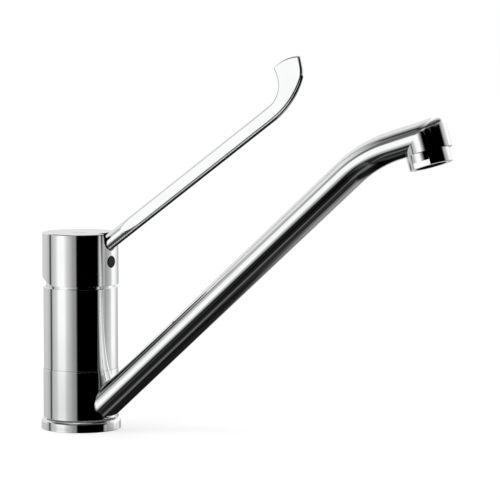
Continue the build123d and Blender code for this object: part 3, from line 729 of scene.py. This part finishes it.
def leverRing(lever, outer, inner):
    # Two round edges about their own middles, running softly into the pressed flats between them. The crease
    # beside a flat is found in a few steps, because the thickness there depends on its place
    ring = []
    steps, soft = lever["edgeSteps"], lever["softSteps"]
    for (core, angle), side in ((outer, 1), (inner, -1)):
        away = heading(radians(angle - 90)) * side
        crease = core + away * lever["radius"]
        for attempt in range(lever["settleSteps"]):
            half = halfThickness(lever, crease)
            small = min(lever["pressRound"], lever["roundShare"] * half)
            spread = asin((half - small) / (lever["radius"] - small))
            crease = core + away * (lever["radius"] - small) * cos(spread)
        centre = [(lever["radius"] - small) * cos(spread), half - small]
        turns = [-pi / 2 + (pi / 2 - spread) * index / soft for index in range(soft)]
        points = [(centre[0] + small * cos(turn), small * sin(turn) - centre[1]) for turn in turns]
        for index in range(steps + 1):
            turn = spread * (2 * index / steps - 1)
            points.append((lever["radius"] * cos(turn), lever["radius"] * sin(turn)))
        points += [(out, -across) for out, across in reversed(points[:soft])]
        ring += [core + away * out + Vector((0, across * side, 0)) for out, across in points]
    return ring


def tipCorner(lever, path, side, size, steps=8):
    # Round corner between a straight side of the flare and the end's arc, from the side to the end
    core, angle = path[-1]
    away = heading(radians(angle - 90)) * side
    edge = core + away * (lever["radius"] - size)
    end = Vector((lever["tipX"], 0, lever["tipZ"]))
    along = heading(radians(angle))
    back = (edge - end).dot(along)
    reach = sqrt(back ** 2 - (edge - end).length_squared + (lever["tipRadius"] - size) ** 2)
    centre = edge + along * (reach - back)
    outward = (centre - end).normalized()
    spread = away.angle(outward)
    return [centre + (away * sin(spread * (1 - step / steps)) + outward * sin(spread * step / steps))
            * (size / sin(spread)) for step in range(steps + 1)]


def tipOutline(lever, outer, inner):
    # Everything that the end's arc and its two corners leave of the flare, in side view
    end, steps = Vector((lever["tipX"], 0, lever["tipZ"])), lever["tipSteps"]
    right = tipCorner(lever, outer, 1, lever["outerRound"])
    left = tipCorner(lever, inner, -1, lever["innerRound"])
    start, stop = right[-1] - end, left[-1] - end
    spread = start.angle(stop)
    arc = [end + (start * sin(spread * (1 - step / steps)) + stop * sin(spread * step / steps)) / sin(spread)
           for step in range(1, steps)]
    return right + arc + left[::-1] + [Vector((x, 0, z)) for x, z in lever["tipBounds"]]


def tipCutter(lever, outer, inner):
    # The end's outline across the flare, drawn in towards both flats so that the end is round. The first and
    # the last ring are moved clear of the flare
    size = lever["tipRound"]
    rings = []
    for side in (-1, 1):
        outward = Vector((0, side, 0))
        for turn in lever["tipTurns"][::side]:
            drawn = dict(lever, tipRadius=lever["tipRadius"] - size * (1 - cos(radians(turn))))
            rings.append([point + outward * (max(halfThickness(lever, point), size) - size)
                          + outward * size * sin(radians(turn)) for point in tipOutline(drawn, outer, inner)])
    for ring, y in ((rings[0], -lever["tipHalf"]), (rings[-1], lever["tipHalf"])):
        for point in ring:
            point.y = y
    return skin(rings)


def makeLever(lever, tongue):
    slope = lever["slope"]
    elbowX = lever["startX"] - (lever["startZ"] - tongue["middle"]) / tan(radians(slope))
    tangent = lever["elbow"] * tan(radians(slope / 2))
    toStart = (lever["startX"] - elbowX) / cos(radians(slope)) - tangent
    root = trace((lever["rear"], 0, tongue["middle"]), 0, [
        (elbowX - tangent - lever["rear"], 0, 1), (lever["elbow"], slope, lever["elbowSteps"])])
    root += trace(root[-1][0], slope, [
        (toStart + lever["pressBegin"], 0, lever["rootSteps"]),
        (lever["pressFull"] - lever["pressBegin"], 0, lever["pressSteps"]),
        (lever["flareStart"] - lever["pressFull"], 0, lever["flatSteps"])])[1:]
    flare = Vector((lever["startX"], 0, lever["startZ"])) + heading(radians(slope)) * lever["flareStart"]
    outer, inner = trace(flare, slope, lever["outer"]), trace(flare, slope, lever["inner"])
    rings = [leverRing(lever, station, station) for station in root]
    rings += [leverRing(lever, far, near) for far, near in zip(outer[1:], inner[1:])]
    changes = [
        ("INTERSECT", tipCutter(lever, outer, inner)),
        ("DIFFERENCE", brick((lever["rear"] - past, -lever["rootHalf"], lever["rootTop"]),
                             (lever["rootFront"], lever["rootHalf"], lever["rootClear"]))),
        ("UNION", brick((tongue["rear"], -tongue["half"], tongue["low"]),
                        (tongue["front"], tongue["half"], tongue["high"]))),
        ("DIFFERENCE", rod(tongue["screwRadius"], tongue["screwLow"], tongue["high"] + past, segments=48)),
    ]
    bar = combine(skin(rings), changes)
    return finishPiece(bar, "lever_bar", "lever", ["lever"], chromePlate, edge=lever["edge"])


makeLeverCap(leverCap, leverRod)
makeIndexPlug(indexPlug, leverCap)
makeCoverDisc(coverDisc, leverCap)
makeLever(leverRod, leverTongue)
print("cap and lever made")


# Floor, light and camera

photoView = {
    "place": (1.11134, -1.50644, 0.28335), "azimuth": 33.02, "pitch": 5.085, "lens": 206.6, "sensor": 36,
    "farthest": 50,
}
studio = {
    "floorSize": 12.0, "floorShade": 0.62, "floorRoughness": 0.8, "floorLift": 0.58, "tentRadius": 6.0,
    "worldLight": 0.7, "lampSize": 1.6, "lampEnergy": 12.0, "lampPlace": (-0.6, -1.6, 2.2),
}

# Black cloth hung round the tap, seen only in its reflections. Left and right are in degrees round from the
# photo's side, bottom and top in degrees up from level. Soft is how many degrees an edge takes to end,
# density the share of light held back, and slant how many degrees a cloth moves round for each degree up
flagColumns = ("Left", "Right", "Left Soft", "Right Soft", "Bottom", "Top", "Bottom Soft", "Top Soft",
               "Density", "Slant")
studioFlags = {
    "front": (-12.9, 76, 6.8, 6.3, -100, 30.2, 37.9, 9.1, 1, 0),
    "frontLeft": (-48.3, 70.3, 8.9, 4.5, -99.6, 11.4, 3.3, 17.8, 0.36, 0),
    "frontLeftDeep": (-39.7, 71, 21.8, 9.9, -99.3, 88.2, 3.8, 59.1, 0.57, 0),
    "frontRight": (81.5, 113.5, 1, 2.2, -56.5, 97.8, 1, 7.1, 0.3, 0),
    "frontRightDeep": (-9.4, 110.6, 1, 30, -59.9, 91.8, 2, 10.6, 0.56, 0),
    "rightLow": (65.8, 163.6, 17.2, 6.8, -60.6, -33.8, 1, 11.1, 0.41, 0),
    "rightBack": (128.1, 181.9, 26.3, 13.2, -57.1, 8.5, 4.7, 15.5, 0.59, 0),
    "left": (-94.8, -67.9, 1, 35.3, -54.9, 14.3, 33.9, 4.4, 0.57, 0),
    "leftEdge": (-106.5, -92.3, 5.6, 5.1, -23.1, 18.3, 15, 2, 0.92, 0),
    "leftBack": (-159.4, -103.4, 6.3, 1, -40.5, 5, 4.1, 13.3, 0.28, 0),
    "leftBackDeep": (-124.3, -96, 23.9, 1, -31.4, 21.7, 19.9, 1, 0.35, 0),
    "back": (-192.7, -67.7, 2.6, 8.6, -32.4, 97.9, 1, 8.5, 0.22, 0),
    "leftHigh": (-100, -21.6, 19.7, 16.3, 6.3, 54.9, 9.2, 15.6, 0.84, 0),
    "under": (-188.9, 195.6, 3.1, 1.3, -98.7, -25.7, 6.3, 32.1, 0.88, 0),
    "ceiling": (-151.9, 165, 45.2, 56.8, 28.2, 86.2, 14.1, 41.1, 0.96, 0),
    "rightDeep": (59.7, 136.4, 44.2, 7.1, -72.8, -6.5, 2, 4.5, 0.8, 0),
    "frontTop": (-51.4, 6.5, 25.1, 13, 1.2, 23.5, 3.1, 9.6, 1, 0),
    "leftLevel": (-96.2, -17.5, 25.4, 28.4, -9.1, -5.8, 1, 9.4, 0.96, 0),
    "frontFoot": (-52.2, -3.1, 18.1, 7.8, -61.7, -43.1, 8.2, 5.1, 0.93, 0),
    "leftStrip": (-113.4, -98.2, 1, 3.4, 9.3, 20.1, 5.8, 1.4, 1, 0),
    "frontTopRight": (19.8, 88.4, 5.8, 10.3, -3.6, 27.4, 1, 1.7, 1, 0),
    "leftUnder": (-83.6, -39.9, 19, 1.1, -99.4, -53, 1.4, 4.8, 0.83, 0),
    "rightUnder": (150.1, 189.3, 12.6, 23.9, -93.9, -22.6, 7.4, 2.8, 0.98, 0),
    "mouthBack": (54.5, 155.3, 2.3, 31.9, -31.3, -9.1, 2.2, 1, 0.89, 0),
    "tipRight": (79.4, 108.2, 5, 1.6, -6.4, 3.6, 2, 25.7, 0.62, 0),
    "armUnder": (186, 230, 4, 10, -72, -22, 4, 4, 0.9, 0.96),
    "tipUnder": (22, 122, 6, 6, -46, -14, 3, 4, 0.85, 0),
    "backUnder": (-196.3, -96.3, 1, 22.9, -93.2, -53.4, 1, 1, 0.82, 0),
    "rightFoot": (61.2, 117.9, 5.3, 3.5, -56.4, -8.9, 5.6, 1, 0.97, 0),
    "frontUnder": (-23.6, -5.6, 10.3, 5.1, -73, -38.5, 1.4, 22.7, 0.57, 0),
}


def buildSoftFlag():
    # One hanging cloth: what is left of the light, from where it hangs and how softly it ends
    group = newGroup("softFlag", {"Round": 0, "Up": 0, **dict.fromkeys(flagColumns, 1)}, ["Light"])
    source = group.nodes.new("NodeGroupInput").outputs
    lean = addMath(group, "lean", "MULTIPLY", source["Up"], source["Slant"])
    across = addMath(group, "without the lean", "SUBTRACT", source["Round"], lean)
    cover = None
    rise = source["Up"]
    for edge, more, less in (("Left", across, source["Left"]), ("Right", source["Right"], across),
                             ("Bottom", rise, source["Bottom"]), ("Top", source["Top"], rise)):
        inside = addMath(group, "inside " + edge, "SUBTRACT", more, less)
        ramp = addNode(group, "ShaderNodeMapRange", "soft " + edge, {
            "Value": inside, "From Max": source[edge + " Soft"]}).outputs["Result"]
        cover = ramp if cover is None else addMath(group, "and " + edge, "MULTIPLY", cover, ramp)
    held = addMath(group, "held back", "MULTIPLY", cover, source["Density"])
    left = addMath(group, "left over", "SUBTRACT", 1, held)
    setInputs(group, group.nodes.new("NodeGroupOutput"), {"Light": left})
    return group


def makeTent(values, view, flags):
    # A round tent of gauze that the black flags hang on: between them the world's white shows. Only mirror
    # images see it
    bm = bmesh.new()
    bmesh.ops.create_uvsphere(bm, u_segments=64, v_segments=32, radius=values["tentRadius"])
    tent = solidFrom(bm)
    tent.name = "studioTent"
    tent.visible_camera = False
    tent.visible_diffuse = False
    tent.visible_transmission = False
    tent.visible_shadow = False
    material = bpy.data.materials.new("flagCloth")
    material.use_nodes = True
    tree = material.node_tree
    tree.nodes.clear()
    place = addNode(tree, "ShaderNodeTexCoord", "place", {}).outputs["Object"]
    facing = addNode(tree, "ShaderNodeMapping", "turned to the photo's side", {
        "Vector": place, "Rotation": (0, 0, -radians(view["azimuth"]))})
    unit = addNode(tree, "ShaderNodeVectorMath", "direction", {0: facing.outputs["Vector"]},
                   operation="NORMALIZE")
    split = addNode(tree, "ShaderNodeSeparateXYZ", "its parts", {0: unit.outputs["Vector"]}).outputs
    forward = addMath(tree, "towards the photo's side", "MULTIPLY", split["Y"], -1)
    turn = addMath(tree, "round", "ARCTAN2", split["X"], forward)
    rise = addMath(tree, "up", "ARCSINE", split["Z"])
    hung = {"Round": addMath(tree, "round in degrees", "DEGREES", turn),
            "Up": addMath(tree, "up in degrees", "DEGREES", rise)}
    softFlag = buildSoftFlag()
    light = None
    for name, flag in flags.items():
        cloth = addNode(tree, "ShaderNodeGroup", name, {**hung, **dict(zip(flagColumns, flag))},
                        node_tree=softFlag).outputs["Light"]
        light = cloth if light is None else addMath(tree, "past " + name, "MULTIPLY", light, cloth)
    gap = addNode(tree, "ShaderNodeBsdfTransparent", "gap", {})
    dark = addNode(tree, "ShaderNodeEmission", "black cloth", {"Color": (0, 0, 0, 1)})
    mix = addNode(tree, "ShaderNodeMixShader", "cloth or gap", {
        "Fac": light, 1: dark.outputs[0], 2: gap.outputs[0]})
    addNode(tree, "ShaderNodeOutputMaterial", "tent", {"Surface": mix.outputs[0]})
    tent.data.materials.append(material)


def makeCamera(values):
    data = bpy.data.cameras.new("camera")
    data.sensor_width = values["sensor"]
    data.lens = values["lens"]
    data.clip_end = values["farthest"]
    camera = bpy.data.objects.new("camera", data)
    bpy.context.scene.collection.objects.link(camera)
    turn, pitch = radians(values["azimuth"]), radians(values["pitch"])
    back = Vector((sin(turn) * cos(pitch), -cos(turn) * cos(pitch), sin(pitch)))
    right = Vector((cos(turn), sin(turn), 0))
    up = back.cross(right)
    camera.matrix_world = (Matrix.Translation(values["place"])
                           @ Matrix((right, up, back)).transposed().to_4x4())
    bpy.context.scene.camera = camera


def makeFloor(values):
    bm = bmesh.new()
    bmesh.ops.create_grid(bm, x_segments=1, y_segments=1, size=values["floorSize"] / 2)
    floor = solidFrom(bm)
    floor.name = "floor"
    floor.visible_glossy = False
    material = bpy.data.materials.new("floorWhite")
    material.use_nodes = True
    tree = material.node_tree
    rays = addNode(tree, "ShaderNodeLightPath", "rays", {}).outputs
    lift = addMath(tree, "white to the camera", "MULTIPLY", rays["Is Camera Ray"], values["floorLift"])
    setInputs(tree, tree.nodes["Principled BSDF"], {
        "Base Color": (values["floorShade"],) * 3 + (1,), "Roughness": values["floorRoughness"],
        "Specular IOR Level": 0, "Emission Color": (1, 1, 1, 1), "Emission Strength": lift})
    floor.data.materials.append(material)


def makeSoftbox(values):
    # One large lamp, high on the left, that only the dull surfaces see
    data = bpy.data.lights.new("softbox", "AREA")
    data.shape = "DISK"
    data.size = values["lampSize"]
    data.energy = values["lampEnergy"]
    lamp = bpy.data.objects.new("softbox", data)
    bpy.context.scene.collection.objects.link(lamp)
    place = Vector(values["lampPlace"])
    lamp.matrix_world = Matrix.Translation(place) @ place.to_track_quat("Z", "Y").to_matrix().to_4x4()
    lamp.visible_glossy = False
    lamp.visible_camera = False


def makeWorld(values):
    # White to the camera and in mirror images, a plain level of light for the rest
    world = bpy.data.worlds.new("studio")
    bpy.context.scene.world = world
    world.use_nodes = True
    tree = world.node_tree
    tree.nodes.clear()
    rays = addNode(tree, "ShaderNodeLightPath", "rays", {}).outputs
    mirrored = addMath(tree, "camera or mirror", "MAXIMUM", rays["Is Camera Ray"], rays["Is Glossy Ray"])
    clear = addMath(tree, "or glass", "MAXIMUM", mirrored, rays["Is Transmission Ray"])
    strength = addNode(tree, "ShaderNodeMapRange", "strength", {
        "Value": clear, "To Min": values["worldLight"], "To Max": 1})
    background = addNode(tree, "ShaderNodeBackground", "white", {
        "Color": (1, 1, 1, 1), "Strength": strength.outputs["Result"]})
    addNode(tree, "ShaderNodeOutputWorld", "world", {0: background.outputs[0]})


makeTent(studio, photoView, studioFlags)
makeCamera(photoView)
makeFloor(studio)
makeSoftbox(studio)
makeWorld(studio)
bpy.context.scene.view_settings.view_transform = "Standard"
print("stage set")

bpy.context.view_layer.update()
